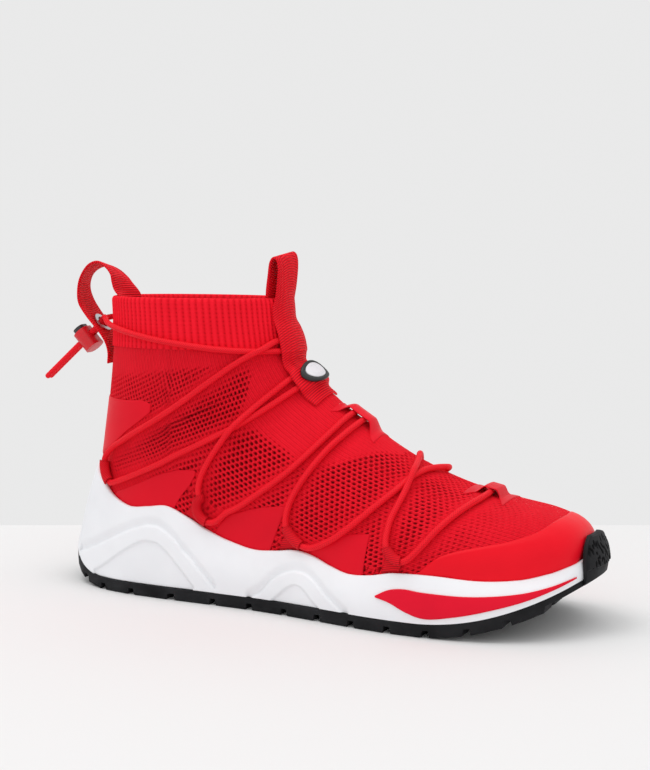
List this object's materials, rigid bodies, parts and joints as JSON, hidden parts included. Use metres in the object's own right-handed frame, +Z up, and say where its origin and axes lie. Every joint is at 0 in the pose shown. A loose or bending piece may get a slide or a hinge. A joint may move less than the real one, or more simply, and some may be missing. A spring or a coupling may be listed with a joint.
{
  "type": "high top trainer",
  "caption": "Right-foot high top trainer: knitted sock upper, wavy foam midsole, lugged rubber outsole, bungee lace with a sliding cord lock, two pull tabs.",
  "frame": {"origin": "on the ground, on the flex rib in the middle of the tread", "axes": "+X towards the toe, +Y towards the medial (inner) side, +Z up"},
  "size_m": [0.3251, 0.1054, 0.1834],
  "materials": {
    "rubber_outsole": "moulded rubber, matt, dark charcoal",
    "foam_midsole": "moulded foam with a fine skin, white",
    "panel_film": "thermoplastic film, red, satin",
    "lasting_board": "pressed fibre board",
    "insole_foam": "fabric-topped foam",
    "stiffener": "thermoplastic sheet",
    "knit": "engineered knit, bright red",
    "rib_knit": "two-layer rib knit, bright red",
    "guard_film": "fused film, red, satin",
    "overlay_film": "bonded film, red",
    "loop_webbing": "narrow flat webbing",
    "tab_webbing": "grosgrain webbing, bright red",
    "badge_rubber": "moulded rubber",
    "badge_face": "printed face, plain",
    "grommet_metal": "plated",
    "lace_cord": "braided round cord",
    "lock_plastic": "moulded, red, satin",
    "button_plastic": "moulded, dark",
    "spring_steel": "drawn wire"
  },
  "bodies": {
    "shoe": {"outsole": "rubber_outsole", "midsole": "foam_midsole", "side_panel_lateral": "panel_film", "side_panel_medial": "panel_film", "lasting_board": "lasting_board", "insole": "insole_foam", "heel_counter": "stiffener", "toe_puff": "stiffener", "knit_upper": "knit", "rib_cuff": "rib_knit", "toe_guard": "guard_film", "heel_film": "overlay_film", "side_film_lateral_1": "overlay_film", "side_film_lateral_2": "overlay_film", "side_film_lateral_3": "overlay_film", "side_film_medial_1": "overlay_film", "side_film_medial_2": "overlay_film", "side_film_medial_3": "overlay_film", "lace_loop_lateral_1": "loop_webbing", "lace_loop_lateral_2": "loop_webbing", "lace_loop_lateral_3": "loop_webbing", "lace_loop_lateral_4": "loop_webbing", "lace_loop_medial_1": "loop_webbing", "lace_loop_medial_2": "loop_webbing", "lace_loop_medial_3": "loop_webbing", "lace_loop_medial_4": "loop_webbing", "throat_guide_rear": "overlay_film", "throat_guide_front": "overlay_film", "front_pull_tab": "tab_webbing", "badge": "badge_rubber", "badge_inlay": "badge_face", "rear_pull_tab": "tab_webbing", "rear_grommet": "grommet_metal", "lace": "lace_cord", "lace_tail_lateral": "lace_cord", "lace_tail_medial": "lace_cord"},
    "cord_lock": {"cord_lock_barrel": "lock_plastic", "cord_lock_spring": "spring_steel"},
    "lock_button": {"cord_lock_button": "button_plastic"}
  },
  "joints": [
    {"name": "cord_lock_slide", "type": "slide", "parent": "shoe", "child": "cord_lock", "axis": [0.7391, 0.0777, 0.6691], "range_m": [-0.027, 0.0045]},
    {"name": "cord_lock_press", "type": "slide", "parent": "cord_lock", "child": "lock_button", "axis": [-0.6655, -0.0699, 0.7431], "range_m": [-0.002, 0], "stiffness_N_per_m": 500, "springref_m": 0.0005, "deforming": ["cord_lock_spring"]}
  ]
}
